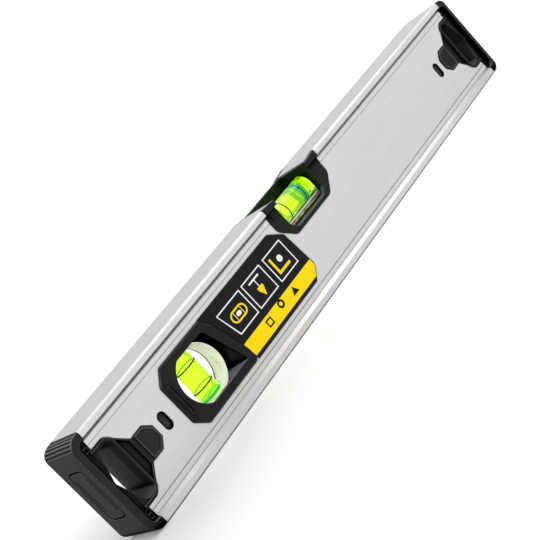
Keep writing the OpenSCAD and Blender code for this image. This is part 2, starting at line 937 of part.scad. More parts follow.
module level_block() {
    color(clear) at_level() difference() {
        union() {
            cylinder(r = level_r, h = level_l, center = true);
            translate([-level_lift + film, -foot_half, -level_l / 2])
                cube([level_lift - film, 2 * foot_half, level_l]);
        }
        translate([0, 0, -level_shift])
            cylinder(r = level_bore_r, h = level_bore_l, center = true);
        translate([0, 0, -level_l]) cylinder(r = level_bore_r, h = level_l);
    }
}

module level_plug() {
    color(clear) at_level_bore() plug_shape(level_bore_r - seam, level_bore_l);
}

module level_spirit() {
    color(lime) at_level_bore() difference() {
        spirit_shape(level_bore_r, level_bore_l, level_ring_gap);
        band_groove(level_bore_r, -level_band_x, level_band_w);
    }
}

module level_rings() {
    color(ink) at_level_bore() ring_pair(level_bore_r, level_ring_gap);
}

module level_band() {
    color(green) at_level_bore() hoop(band_r(level_bore_r), -level_band_x, level_band_w, band_t);
}

module level_bubble() {
    color(clear) at_level_bore() translate([bubble_off(level_bore_r), 0, 0])
        capsule(bubble_share * level_bore_r, level_bubble_l);
}

// Label

label_near = -plumb_x + bezel_far_foot;

module label() {
    step = bezel_far_foot - bezel_far_top;
    middle_x = label_near - step * (1 - bezel_lean_share);
    foot_end = label_end - label_lean;
    color(ink) translate([0, 0, mid_z]) across(-web_y - label_t, -web_y) polygon(rounded([
        [label_near + label_gap, -label_half, 0],
        [-foot_end - bezel_cut, -label_half, core_r],
        [-foot_end, -label_half + bezel_cut, core_r],
        [-label_end, label_half - bezel_cut, core_r],
        [-label_end - bezel_cut - core_r, label_half, core_r],
        [label_near - step + label_gap, label_half, 0],
        [middle_x + label_gap, bezel_half - bezel_cut, 0],
        [label_near + label_gap, -bezel_half + bezel_cut, 0]]));
}

beam();
left_end_cap();
right_end_cap();
left_front_latch();
left_back_latch();
right_front_latch();
right_back_latch();
plumb_front_bezel();
plumb_back_bezel();
plumb_block();
plumb_plug();
plumb_spirit();
plumb_rings();
plumb_band();
plumb_bubble();
level_front_frame();
level_back_frame();
level_block();
level_plug();
level_spirit();
level_rings();
level_band();
level_bubble();
label();
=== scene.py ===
"""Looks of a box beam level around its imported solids: finishes, vials, label print, light and camera.

Places are in the frame of the part: X along the beam, the front towards -Y, resting on Z = 0. Lengths are in
metres, apart from those of the label's print, which are in millimetres.
"""
import math

import bmesh
import bpy
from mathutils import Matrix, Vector


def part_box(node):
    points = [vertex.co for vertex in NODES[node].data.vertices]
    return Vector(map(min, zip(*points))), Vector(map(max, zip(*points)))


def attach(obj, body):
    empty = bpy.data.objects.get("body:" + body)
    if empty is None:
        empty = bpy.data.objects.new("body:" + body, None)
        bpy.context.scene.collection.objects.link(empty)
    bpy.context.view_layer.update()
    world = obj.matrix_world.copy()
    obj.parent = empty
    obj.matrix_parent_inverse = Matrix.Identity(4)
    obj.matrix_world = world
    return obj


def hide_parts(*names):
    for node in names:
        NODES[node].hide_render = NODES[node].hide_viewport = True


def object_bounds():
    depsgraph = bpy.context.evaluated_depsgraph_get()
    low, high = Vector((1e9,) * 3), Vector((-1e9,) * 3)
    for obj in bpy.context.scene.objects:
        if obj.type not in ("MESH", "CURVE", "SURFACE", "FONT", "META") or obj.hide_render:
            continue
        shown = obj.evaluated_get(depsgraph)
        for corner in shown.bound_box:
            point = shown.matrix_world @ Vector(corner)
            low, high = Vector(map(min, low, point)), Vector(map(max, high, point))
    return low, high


MM = 0.001
BODY = "body"
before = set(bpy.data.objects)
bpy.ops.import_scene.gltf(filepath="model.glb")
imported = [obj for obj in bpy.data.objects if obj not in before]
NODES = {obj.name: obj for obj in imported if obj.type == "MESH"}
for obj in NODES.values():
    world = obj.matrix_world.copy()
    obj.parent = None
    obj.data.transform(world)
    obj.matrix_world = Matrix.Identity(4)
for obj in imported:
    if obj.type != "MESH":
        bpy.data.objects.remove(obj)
CAD_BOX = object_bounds()


def middle(name):
    """The middle of a CAD node's box."""
    low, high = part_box(name)
    return (low + high) / 2


def half_size(name):
    """Half the size of a CAD node's box along each axis."""
    low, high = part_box(name)
    return (high - low) / 2


def placed(name, data):
    """A new object in the scene."""
    item = bpy.data.objects.new(name, data)
    bpy.context.collection.objects.link(item)
    return item


# Camera

# The photograph's frame, the place of the lens axis in it and the focal length, in pixels
PHOTO_SIZE = 540
AXIS_PX = Vector((217.7, 250.7))
FOCAL_PX = 1122.2
# Width of the sensor in millimetres
SENSOR = 36
CAMERA_PLACE = Vector((-0.3939, -0.4788, 0.1547))
# Turns about X, Y and Z in degrees
CAMERA_TURN = (77.576, 42.791, -43.759)
CLIP_START = 0.01


def make_camera():
    """The camera at the photograph's place, turn and framing."""
    data = bpy.data.cameras.new("camera")
    data.sensor_width = SENSOR
    data.lens = FOCAL_PX / PHOTO_SIZE * SENSOR
    data.shift_x = 0.5 - AXIS_PX.x / PHOTO_SIZE
    data.shift_y = AXIS_PX.y / PHOTO_SIZE - 0.5
    data.clip_start = CLIP_START
    camera = placed("camera", data)
    camera.location = CAMERA_PLACE
    camera.rotation_euler = [math.radians(a) for a in CAMERA_TURN]
    bpy.context.scene.camera = camera


# Node helpers

# How many rays look for corners and for edges round a point
CORNER_RAYS = 8
EDGE_RAYS = 4
# Cosine between a face and its rounded edge: where the edge starts to count, and where it counts in full
EDGE_START, EDGE_FULL = 0.99, 0.85
# Height of a face's direction: where it starts to count as looking up, and where it counts in full
UP_START, UP_FULL = 0.25, 0.75


class Nodes:
    """Short ways to add nodes to a tree."""

    def __init__(self, tree):
        self.nodes, self.links = tree.nodes, tree.links

    def add(self, kind, **settings):
        node = self.nodes.new(kind)
        for key, value in settings.items():
            setattr(node, key, value)
        return node

    def link(self, source, target):
        self.links.new(source, target)

    def calculate(self, operation, *values):
        node = self.add("ShaderNodeMath", operation=operation)
        for value, socket in zip(values, node.inputs):
            self.link(value, socket)
        return node.outputs[0]

    def product(self, first, second):
        return self.calculate("MULTIPLY", first, second)

    def seen_by(self, first, *others):
        """1 for rays of the given kinds, 0 for all others."""
        rays = self.add("ShaderNodeLightPath").outputs
        seen = rays[first]
        for kind in others:
            seen = self.calculate("MAXIMUM", seen, rays[kind])
        return seen

    def end_in(self, output, value, low, high):
        """Ends the tree in a mix of two shaders."""
        mix = self.add("ShaderNodeMixShader")
        for source, socket in zip((value, low, high), mix.inputs):
            self.link(source, socket)
        self.link(mix.outputs["Shader"], self.nodes[output].inputs["Surface"])


class Finish(Nodes):
    """A material under construction: its node tree and its shader, whose sockets are set by name."""

    def __init__(self, name, colour, **sockets):
        self.material = bpy.data.materials.new(name)
        self.material.use_nodes = True
        super().__init__(self.material.node_tree)
        self.shader = self.nodes["Principled BSDF"]
        self.shader.inputs["Base Color"].default_value = (*colour, 1)
        for socket, value in sockets.items():
            self.shader.inputs[socket.replace("_", " ")].default_value = value
        self.place = self.add("ShaderNodeTexCoord").outputs["Object"]

    def feed(self, socket, value):
        """Lets a node's output set one of the shader's sockets."""
        self.link(value, self.shader.inputs[socket])

    def noise(self, size, stretch=(1, 1, 1), detail=2.0):
        """Noise whose grains are about size wide, and longer by stretch along each axis."""
        mapping = self.add("ShaderNodeMapping")
        mapping.inputs["Scale"].default_value = [1 / (size * s) for s in stretch]
        texture = self.add("ShaderNodeTexNoise")
        texture.inputs["Scale"].default_value = 1
        texture.inputs["Detail"].default_value = detail
        self.link(self.place, mapping.inputs["Vector"])
        self.link(mapping.outputs["Vector"], texture.inputs["Vector"])
        return texture.outputs["Fac"]

    def ramp(self, value, start=0.3, end=0.7, low=0, high=1):
        """Maps start..end to low..high; the span that is set beforehand is the one that noise mostly has."""
        node = self.add("ShaderNodeMapRange")
        node.inputs["From Min"].default_value = start
        node.inputs["From Max"].default_value = end
        node.inputs["To Min"].default_value = low
        node.inputs["To Max"].default_value = high
        self.link(value, node.inputs["Value"])
        return node.outputs["Result"]

    def mix(self, value, low, high):
        """Mixes two colours, each a triple or the output of another node."""
        node = self.add("ShaderNodeMix", data_type="RGBA")
        self.link(value, node.inputs[0])
        for colour, socket in ((low, node.inputs[6]), (high, node.inputs[7])):
            if isinstance(colour, tuple):
                socket.default_value = (*colour, 1)
            else:
                self.link(colour, socket)
        return node.outputs[2]

    def mottled(self, size, low, high):
        """A colour that wanders between two colours in patches of about the given size."""
        return self.mix(self.ramp(self.noise(size)), low, high)

    def part_of(self, vector, axis):
        """One coordinate of a vector."""
        parts = self.add("ShaderNodeSeparateXYZ")
        self.link(vector, parts.inputs[0])
        return parts.outputs[axis]

    def along(self, axis, start, end):
        """0 to 1 from start to end along an axis of the frame."""
        return self.ramp(self.part_of(self.place, axis), start, end)

    def near_plane(self, axis, inside, outside):
        """1 closer than inside to the middle plane across an axis, 0 beyond outside."""
        return self.ramp(self.calculate("ABSOLUTE", self.part_of(self.place, axis)), outside, inside)

    def face(self):
        """The direction of the surface itself."""
        return self.add("ShaderNodeNewGeometry").outputs["Normal"]

    def rounded(self, radius):
        """The direction of the surface with its edges rounded off."""
        bevel = self.add("ShaderNodeBevel", samples=EDGE_RAYS)
        bevel.inputs["Radius"].default_value = radius
        return bevel.outputs["Normal"]

    def openness(self, width):
        """1 on open faces, and less in corners that are narrower than width."""
        node = self.add("ShaderNodeAmbientOcclusion", samples=CORNER_RAYS)
        node.inputs["Distance"].default_value = width
        return node.outputs["AO"]

    def edges(self, radius):
        """1 along edges that radius rounds off, 0 on plain faces."""
        dot = self.add("ShaderNodeVectorMath", operation="DOT_PRODUCT")
        self.link(self.rounded(radius), dot.inputs[0])
        self.link(self.face(), dot.inputs[1])
        return self.ramp(dot.outputs["Value"], EDGE_START, EDGE_FULL)

    def facing_up(self, radius):
        """1 on faces that look up, also on the round of upper edges, 0 on upright ones."""
        return self.ramp(self.part_of(self.rounded(radius), "Z"), UP_START, UP_FULL)

    def relief(self, value, depth, edge=None):
        """Bump of the given depth, over edges that are softened to the radius edge."""
        bump = self.add("ShaderNodeBump")
        bump.inputs["Strength"].default_value = 1
        bump.inputs["Distance"].default_value = depth
        self.link(value, bump.inputs["Height"])
        if edge:
            self.link(self.rounded(edge), bump.inputs["Normal"])
        self.feed("Normal", bump.outputs["Normal"])

    def clear_shadow(self, colour):
        """Lets lamp light through, tinted, as clear plastic does."""
        through = self.add("ShaderNodeBsdfTransparent")
        through.inputs["Color"].default_value = (*colour, 1)
        self.end_in("Material Output", self.seen_by("Is Shadow Ray"),
                    self.shader.outputs["BSDF"], through.outputs["BSDF"])


def grey(value):
    return (value, value, value)


# Aluminium

ALLOY_DULL, ALLOY_BRIGHT = (0.70, 0.70, 0.705), grey(0.785)
# Colour of the painted shade in inner corners, and how wide a corner may be to take it
ALLOY_CORNER_SHADE = (0.02, 0.02, 0.021)
GROOVE = 1.2 * MM
# Painted shade: how much darker faces are that look straight up, and those that look down
TOP_SHADE, UNDER_SHADE = 0.27, 0.8


def alloy_finish():
    """Satin aluminium, drawn along the beam, with painted shade in its inner corners and where it looks up or
    down.
    """
    f = Finish("alloy", ALLOY_DULL, Metallic=1.0)
    drawn = f.noise(0.16 * MM, stretch=(120, 1, 1), detail=4.0)
    clean = f.mix(f.ramp(drawn), ALLOY_DULL, ALLOY_BRIGHT)
    # Painted shade darkens inner corners
    shaded = f.mix(f.ramp(f.openness(GROOVE), 0.66, 0.95), ALLOY_CORNER_SHADE, clean)
    height = f.part_of(f.face(), "Z")
    # Painted shade on faces that look up and on those that look down
    top_shaded = f.mix(f.ramp(height, 0.9, 0.99, high=TOP_SHADE), shaded, grey(0))
    f.feed("Base Color", f.mix(f.ramp(height, -0.25, -0.6, high=UNDER_SHADE), top_shaded, grey(0)))
    f.feed("Roughness", f.ramp(f.noise(9 * MM, stretch=(4, 1, 1)), low=0.31, high=0.37))
    f.relief(drawn, depth=0.004 * MM, edge=0.10 * MM)
    return f.material


# Black plastic

# Mirror level of open faces; it fades out in deep corners as painted shade
SHEEN = 0.17
# Colours of the painted shade in deep corners, of painted highlights on edges and of brighter painted
# highlights on upper edges
RECESS_SHADE = grey(0.001)
EDGE_HIGHLIGHT = (0.10, 0.10, 0.103)
UPPER_EDGE_HIGHLIGHT = (0.36, 0.36, 0.37)
# Corners narrower than this take the painted shade, and those narrower than the second have no painted edge
# highlights
RECESS = 6 * MM
NOTCH = 1.5 * MM
# Painted light: colour that the level vial throws on the walls beside it, and how far along and across the
# beam it reaches:
# in full, and at all
VIAL_GLOW = (0.007, 0.020, 0.001)
GLOW_ALONG = (20 * MM, 24 * MM)
GLOW_ACROSS = (11 * MM, 14.5 * MM)
# Under this height faces that look up are the sills of the vials' windows, which take a painted highlight;
# over the fade they blend in
SILL_TOP = 46 * MM
SILL_FADE = 3 * MM


def moulded_finish(name, colour, upper, roughness, grain, edge, sill_highlight=None):
    """Moulded black plastic with a fine grain: painted shade in recesses, painted highlights on edges and
    painted light where it looks up.

    upper and sill are the colours of painted light on faces that look up, grain is the depth of the grain and
    edge the radius of the edges.
    """
    f = Finish(name, colour, IOR=1.45)
    open_face = f.ramp(f.openness(RECESS), 0.78, 0.99)
    rim = f.ramp(f.openness(NOTCH), 0.6, 0.9)
    # Mask of edges, which take a painted highlight
    edge_highlight_mask = f.product(f.edges(edge), rim)
    # Mask of faces that look up, which take painted light from above
    up = f.product(f.facing_up(edge), rim)
    lighter = tuple(c * 1.5 for c in colour)
    # Painted shade in recesses
    body = f.mix(open_face, RECESS_SHADE, f.mottled(6 * MM, colour, lighter))
    if sill_highlight:
        # The sills of the vials' windows take a painted highlight
        upper = f.mix(f.along("Z", SILL_TOP, SILL_TOP - SILL_FADE), upper, sill_highlight)
    # Painted light: faces that look up are lighter
    body = f.mix(up, body, upper)
    if sill_highlight:
        # Painted light from the level vial on the walls beside it
        beside_vial = f.product(f.near_plane("Y", *GLOW_ACROSS), f.near_plane("X", *GLOW_ALONG))
        body = f.mix(beside_vial, body, VIAL_GLOW)
    # Painted highlight on edges
    body = f.mix(edge_highlight_mask, body, EDGE_HIGHLIGHT)
    # Brighter painted highlight on edges that look up
    f.feed("Base Color", f.mix(f.product(edge_highlight_mask, up), body, UPPER_EDGE_HIGHLIGHT))
    # Reflections fade out in recesses as painted shade
    f.feed("Specular IOR Level", f.ramp(open_face, 0, 1, high=SHEEN))
    f.feed("Roughness", f.ramp(f.noise(1.2 * MM), low=roughness - 0.05, high=roughness + 0.06))
    f.relief(f.noise(0.22 * MM, detail=1.0), depth=grain, edge=edge)
    return f.material


# Clear plastic, liquid and air

# The round block's side: its pale cloud, the painted shade of its upper part, and its nicks and back line
CLOUD_DULL, CLOUD_PALE = (0.86, 0.79, 0.84), (1.0, 0.95, 1.0)
SIDE_SHADE = (0.48, 0.47, 0.38)
NICK = (0.04, 0.05, 0.03)
BACK_LINE = (0.03, 0.035, 0.03)
# How far below the block's top the painted shade starts and is full, and how far from its back the line does
SHADE_START, SHADE_FULL = 9 * MM, 2 * MM
LINE_START, LINE_FULL = 2.8 * MM, 2.4 * MM


def clear_finish():
    """Clear plastic with a faint waviness."""
    f = Finish("acrylic", (0.985, 0.995, 0.98), Roughness=0.0, IOR=1.49, Transmission_Weight=1,
               Specular_IOR_Level=0.2)
    f.relief(f.noise(7 * MM), depth=0.01 * MM)
    f.clear_shadow((0.96, 1.0, 0.96))
    return f.material


def frosted_finish():
    """The round block's side, moulded pale and cloudy, with a dark back line and nicks; its darker top is
    painted shade, and it glows a little as painted light.
    """
    # The side's emission is painted light
    f = Finish("frosted_side", CLOUD_DULL, Roughness=0.35, Emission_Strength=0.22)
    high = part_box("plumb_block")[1]
    cloud = f.mix(f.ramp(f.noise(7 * MM, detail=0.0), 0.38, 0.56), CLOUD_DULL, CLOUD_PALE)
    # Painted shade on the block's upper part
    shaded = f.mix(f.along("Z", high.z - SHADE_FULL, high.z - SHADE_START), SIDE_SHADE, cloud)
    lined = f.mix(f.along("Y", high.y - LINE_START, high.y - LINE_FULL), shaded, BACK_LINE)
    nicks = f.ramp(f.noise(0.9 * MM, stretch=(1, 1.6, 1), detail=1.0), 0.31, 0.34)
    surface = f.mix(nicks, NICK, lined)
    f.feed("Base Color", surface)
    f.feed("Emission Color", surface)
    f.relief(f.noise(1.5 * MM), depth=0.05 * MM)
    return f.material


# The long block's foot: streaks of grey, streaks of lime along its lower edge as painted light from the
# liquid, and a pale line at its top as a painted highlight
GREY_DARK, GREY_LIGHT = (0.02, 0.025, 0.01), (0.42, 0.45, 0.36)
LIME_DARK, LIME_LIGHT = (0.16, 0.22, 0.02), (0.60, 0.70, 0.35)
FOOT_LINE = (0.90, 0.92, 0.86)
# How high the painted lime light reaches, and how far below the foot's top the painted highlight line starts
# and is full
LIME_HIGH = 2.0 * MM
FOOT_LINE_START, FOOT_LINE_FULL = 0.9 * MM, 0.5 * MM


def foot_top():
    """Height of the long block's foot, which ends under the liquid."""
    return middle("level_spirit").z - half_size("level_spirit").z


def streaked_finish():
    """The foot of the long clear block, seen edge on: light and dark streaks along it, painted light from the
    liquid along its lower edge and a painted highlight along its top.
    """
    f = Finish("streaked_foot", GREY_LIGHT, Roughness=0.2)
    low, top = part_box("level_block")[0].z, foot_top()
    streaks = f.ramp(f.noise(0.6 * MM, stretch=(7, 1, 1)), 0.44, 0.60)
    grey_streaks = f.mix(streaks, GREY_DARK, GREY_LIGHT)
    lime_streaks = f.mix(streaks, LIME_DARK, LIME_LIGHT)
    # Painted light from the liquid along the foot's lower edge
    lower = f.mix(f.along("Z", low, low + LIME_HIGH), lime_streaks, grey_streaks)
    # Painted highlight along the foot's top
    lined = f.mix(f.along("Z", top - FOOT_LINE_START, top - FOOT_LINE_FULL), lower, FOOT_LINE)
    f.feed("Base Color", lined)
    f.relief(f.noise(1.2 * MM, stretch=(5, 1, 1)), depth=0.05 * MM)
    return f.material


def liquid_finish():
    """Lime liquid that glows a little: its index is the step from the clear plastic round it."""
    deep, bright = (0.64, 0.92, 0.004), (0.70, 0.95, 0.008)
    f = Finish("lime_liquid", deep, Roughness=0.0, IOR=0.93, Transmission_Weight=0.85,
               Emission_Color=(0.42, 0.90, 0.0, 1), Emission_Strength=0.20)
    f.feed("Base Color", f.mottled(5 * MM, deep, bright))
    f.clear_shadow((0.85, 1.0, 0.45))
    return f.material


def bubble_finish():
    """Air: its index is the step from the liquid round it."""
    f = Finish("bubble_air", (1.0, 1.0, 0.96), Roughness=0.0, IOR=0.97, Transmission_Weight=1)
    f.relief(f.noise(4 * MM), depth=0.004 * MM)
    f.clear_shadow(grey(1))
    return f.material


# Inks


def print_finish(name, colour, lighter, glow=0):
    """Screen print with a slight mottle and orange peel; ink in a vial glows with the liquid round it."""
    f = Finish(name, colour, Roughness=0.38, Specular_IOR_Level=0.15, Emission_Color=(*lighter, 1),
               Emission_Strength=glow)
    f.feed("Base Color", f.mottled(1.5 * MM, colour, lighter))
    f.relief(f.noise(0.5 * MM), depth=0.004 * MM)
    return f.material


# The upper colours are painted light on faces that look up; the frame's sill colour is a painted highlight on
# the windows' sills
CAP = moulded_finish("cap_plastic", (0.011, 0.011, 0.0115), upper=(0.12, 0.12, 0.125), roughness=0.50,
                     grain=0.04 * MM, edge=0.45 * MM)
LATCH = moulded_finish("latch_plastic", (0.036, 0.036, 0.037), upper=grey(0.12), roughness=0.55,
                       grain=0.02 * MM, edge=0.35 * MM)
FRAME = moulded_finish("frame_plastic", (0.008, 0.008, 0.009), upper=(0.035, 0.035, 0.040), roughness=0.42,
                       grain=0.01 * MM, edge=0.35 * MM, sill_highlight=(0.16, 0.155, 0.18))
FILM = moulded_finish("label_film", (0.005, 0.005, 0.006), upper=grey(0.035), roughness=0.40,
                      grain=0.004 * MM, edge=0.05 * MM)
ALLOY = alloy_finish()
CLEAR = clear_finish()
FROSTED = frosted_finish()
STREAKED = streaked_finish()
LIQUID = liquid_finish()
AIR = bubble_finish()
RING_INK = print_finish("ring_ink", grey(0.002), grey(0.004))
BAND_GREEN = print_finish("band_green", (0.0, 0.38, 0.05), (0.01, 0.48, 0.07), glow=0.32)
YELLOW = print_finish("yellow_ink", (0.97, 0.69, 0.0), (1.0, 0.74, 0.0))
WHITE = print_finish("white_ink", grey(0.86), grey(0.92))
BLACK = print_finish("black_ink", grey(0.006), grey(0.012))


def dress(material, *names):
    """Gives CAD nodes their finish."""
    for name in names:
        node = NODES[name]
        node.data.materials.clear()
        node.data.materials.append(material)


# Mesh helpers

# Edges sharper than this, in degrees, stay sharp on smooth pieces
SHARP_FROM = 30
SQUARE_CORNERS = ((-1, -1), (1, -1), (1, 1), (-1, 1))


def finished(name, mesh, material, body):
    """Makes the object of a mesh, with its finish and body."""
    bmesh.ops.recalc_face_normals(mesh, faces=mesh.faces)
    data = bpy.data.meshes.new(name)
    mesh.to_mesh(data)
    mesh.free()
    data.materials.append(material)
    piece = placed(name, data)
    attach(piece, body)
    return piece


def smooth(piece):
    piece.data.shade_smooth()
    piece.data.set_sharp_from_angle(angle=math.radians(SHARP_FROM))
    return piece


def paint_faces(piece, material, wanted):
    """Gives a second material to the faces that wanted picks."""
    piece.data.materials.append(material)
    for face in piece.data.polygons:
        if wanted(face):
            face.material_index = 1


def turned(profile, segments, place, closed=False):
    """A body of revolution: profile holds (radius, height) from axis to axis, or all round when closed."""
    mesh = bmesh.new()
    rows = []
    for r, h in profile:
        turn = [2 * math.pi * i / segments for i in range(segments)] if r else [0]
        rows.append([mesh.verts.new(place(Vector((r * math.cos(a), r * math.sin(a), h)))) for a in turn])
    pairs = list(zip(rows, rows[1:]))
    if closed:
        pairs.append((rows[-1], rows[0]))
    for low, high in pairs:
        for i in range(segments):
            j = (i + 1) % segments
            around = [low[i % len(low)], low[j % len(low)], high[j % len(high)], high[i % len(high)]]
            mesh.faces.new(list(dict.fromkeys(around)))
    return mesh


def band_between(mesh, first, second):
    """Faces between two closed rows of as many points."""
    for i in range(len(first)):
        j = (i + 1) % len(first)
        mesh.faces.new((first[i], first[j], second[j], second[i]))


def plate(loops, front, thick):
    """A flat upright plate from y = front to front + thick: one outline, or an outer and an inner one."""
    mesh = bmesh.new()
    rims = [[[mesh.verts.new((x, y, z)) for x, z in loop] for y in (front, front + thick)] for loop in loops]
    for near, far in rims:
        band_between(mesh, near, far)
    for rows in zip(*rims):
        if len(rows) == 1:
            mesh.faces.new(rows[0])
        else:
            band_between(mesh, *rows)
    return mesh


# Vials

# Inks lie on the liquid's outside: how far they stand off it, and their thickness
INK_GAP = 0.01 * MM
RING_T = 0.12 * MM
BAND_T = 0.05 * MM
# Width of a ring's node, and of the ring as it is drawn
RING_W = 0.5 * MM
DRAWN_RING_W = 0.8 * MM
# How much narrower the drawn liquid is than the bore, and how much narrower again at its ends
BORE_INSET = 0.1 * MM
BARREL = 0.25 * MM
# Sides of what is turned, and steps along a profile
VIAL_SIDES, BUBBLE_SIDES, BLOCK_SIDES = 72, 48, 96
LIQUID_STEPS, BUBBLE_STEPS, ARC_STEPS = 14, 8, 32
# Chamfer round the faces of the round block
BLOCK_CHAMFER = 0.6 * MM
# Axes by their number
LYING, UPRIGHT = 0, 2


class Vial:
    """Liquid, bubble, rings and band of one vial."""

    def __init__(self, prefix, axis):
        self.prefix = prefix
        self.axis = axis
        self.centre = middle(f"{prefix}_spirit")
        size = half_size(f"{prefix}_spirit")
        self.half = size[axis]
        self.r = size[1] - BORE_INSET

    def place(self, p):
        """Turns a point that is given round an upright axis to the vial's own, and moves it there."""
        if self.axis == UPRIGHT:
            return self.centre + p
        return self.centre + Vector((p.z, p.y, -p.x))

    def radius_at(self, h):
        """The liquid's radius, which is largest at its middle."""
        return self.r - BARREL * (h / self.half) ** 2

    def make_liquid(self):
        heights = [self.half * (2 * i / LIQUID_STEPS - 1) for i in range(LIQUID_STEPS + 1)]
        side = [(self.radius_at(h), h) for h in heights]
        mesh = turned([(0, -self.half), *side, (0, self.half)], VIAL_SIDES, self.place)
        liquid = finished(f"{self.prefix}_vial_liquid", mesh, LIQUID, BODY)
        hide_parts(f"{self.prefix}_spirit")
        smooth(liquid)

    def make_bubble(self):
        """A long drop with two round ends."""
        node = f"{self.prefix}_bubble"
        size = half_size(node)
        half, r = size[self.axis], size[1]
        turns = [math.pi / 2 * i / BUBBLE_STEPS for i in range(BUBBLE_STEPS + 1)]
        bow = [(r * math.sin(a), r * (1 - math.cos(a)) - half) for a in turns]
        off = middle(node) - self.centre
        shift = off if self.axis == UPRIGHT else Vector((-off.z, off.y, off.x))
        mesh = turned([*bow, *((x, -h) for x, h in reversed(bow))], BUBBLE_SIDES,
                      lambda p: self.place(p + shift))
        bubble = finished(f"{self.prefix}_vial_bubble", mesh, AIR, node)
        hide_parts(node)
        smooth(bubble)

    def make_hoop(self, name, h, width, thick, material):
        """A thin hoop round the liquid at height h along the axis."""
        r = self.radius_at(h) + INK_GAP
        low, high = h - width / 2, h + width / 2
        section = [(r, low), (r + thick, low), (r + thick, high), (r, high)]
        mesh = turned(section, VIAL_SIDES, self.place, closed=True)
        return smooth(finished(name, mesh, material, BODY))

    def make_inks(self):
        """The two rings, which share a node, and the band."""
        rings = half_size(f"{self.prefix}_rings")[self.axis] - RING_W / 2
        pair = [self.make_hoop(f"{self.prefix}_ring_{i}", h, DRAWN_RING_W, RING_T, RING_INK)
                for i, h in enumerate((-rings, rings), 1)]
        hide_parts(f"{self.prefix}_rings")
        band = f"{self.prefix}_band"
        h = (middle(band) - self.centre)[self.axis]
        width = 2 * half_size(band)[self.axis]
        hoop = self.make_hoop(f"{self.prefix}_vial_band", h, width, BAND_T, BAND_GREEN)
        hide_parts(band)


def make_plumb_block():
    """The round clear block with its frosted side."""
    centre, size = middle("plumb_block"), half_size("plumb_block")
    r, half, bevel = size.x, size.y, BLOCK_CHAMFER
    profile = [(0, -half), (r - bevel, -half), (r, bevel - half),
               (r, half - bevel), (r - bevel, half), (0, half)]
    mesh = turned(profile, BLOCK_SIDES, lambda p: centre + Vector((p.x, p.z, p.y)))
    block = finished("plumb_vial_block", mesh, CLEAR, BODY)
    paint_faces(block, FROSTED, lambda face: abs(face.normal.y) < 0.5)
    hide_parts("plumb_block", "plumb_plug")
    smooth(block)


def make_level_block():
    """The clear tube with its flat foot, closed, as one outline drawn along X."""
    low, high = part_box("level_block")
    axis_z = middle("level_spirit").z
    r = (high.y - low.y) / 2
    turns = [math.pi * i / ARC_STEPS for i in range(ARC_STEPS + 1)]
    arc = [(r * math.cos(a), axis_z + r * math.sin(a)) for a in turns]
    foot = foot_top()
    outline = [(r, low.z), (r, foot), *arc, (-r, foot), (-r, low.z)]
    mesh = bmesh.new()
    ends = [[mesh.verts.new((x, y, z)) for y, z in outline] for x in (low.x, high.x)]
    for end in ends:
        mesh.faces.new(end)
    band_between(mesh, *ends)
    block = finished("level_vial_block", mesh, CLEAR, BODY)
    paint_faces(block, STREAKED, lambda face: abs(face.normal.y) > 0.99 and face.center.z < foot)
    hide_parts("level_block", "level_plug")
    smooth(block)


def make_vials():
    make_plumb_block()
    make_level_block()
    for vial in (Vial("plumb", UPRIGHT), Vial("level", LYING)):
        vial.make_liquid()
        vial.make_bubble()
        vial.make_inks()


# Label print

LABEL_LOW, LABEL_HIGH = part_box("label")
INK_T = 0.03 * MM
INK_Y = LABEL_LOW.y - INK_T
# From here on the lengths of the print are in millimetres: the fields' line, foot and top, and for each field
# its left edge at the top and at the foot, and its right edge
FIELD_LINE = 0.7
FIELD_FOOT, FIELD_TOP = 26.1, 42.4
FIELDS = ((-94.0, -90.3, -72.6), (-70.4, -70.4, -52.2), (-48.9, -48.9, -31.1))
# The stripe: its foot and top, how far its left edge stands from the label's at the foot and at the top, how
# far its right edge does, the cut of its lower right corner and the lean of that edge
STRIPE_FOOT, STRIPE_TOP = 13.2, 22.0
STRIPE_LEFT_FOOT, STRIPE_LEFT_TOP = 11.7, 10.6
STRIPE_RIGHT = 0.5
STRIPE_CUT = 4.9
STRIPE_LEAN = 0.3
# Middles of the marks along the label, and how far those on the stripe stand over its middle line
VIAL_X, BOB_X, ANGLE_X = -82.2, -61.3, -40.6
SQUARE_X, DISC_X, WEDGE_X = -72.0, -59.0, -46.5
STRIPE_MARKS_UP = 0.6
# Points of a circle, and steps round each end of a capsule
CIRCLE_POINTS = 40
CAPSULE_STEPS = 12


def print_on(name, loops, material, layer=0):
    """Ink on the label's face from outlines in millimetres; each layer lies on the one before."""
    outlines = [[(x * MM, z * MM) for x, z in loop] for loop in loops]
    mesh = plate(outlines, INK_Y - layer * INK_T, INK_T)
    return finished(name, mesh, material, BODY)


def circle_loop(x, z, r):
    turns = [2 * math.pi * i / CIRCLE_POINTS for i in range(CIRCLE_POINTS)]
    return [(x + r * math.cos(a), z + r * math.sin(a)) for a in turns]


def capsule_loop(x, z, half, r):
    """A lying bar with round ends, half long to each side."""
    ends = []
    for side, start in ((1, -90), (-1, 90)):
        for i in range(CAPSULE_STEPS + 1):
            a = math.radians(start + 180 * i / CAPSULE_STEPS)
            ends.append((x + side * (half - r) + r * math.cos(a), z + r * math.sin(a)))
    return ends


def box_loop(x, z, half_w, half_h):
    return [(x + side_x * half_w, z + side_z * half_h) for side_x, side_z in SQUARE_CORNERS]


def make_frames():
    """Three outlined fields; the first leans with the bezel beside it."""
    for number, (left_top, left_foot, right) in enumerate(FIELDS, 1):
        outer, inner = ([(left_foot + line, FIELD_FOOT + line), (right - line, FIELD_FOOT + line),
                         (right - line, FIELD_TOP - line), (left_top + line, FIELD_TOP - line)]
                        for line in (0, FIELD_LINE))
        print_on(f"label_field_{number}", [outer, inner], WHITE)


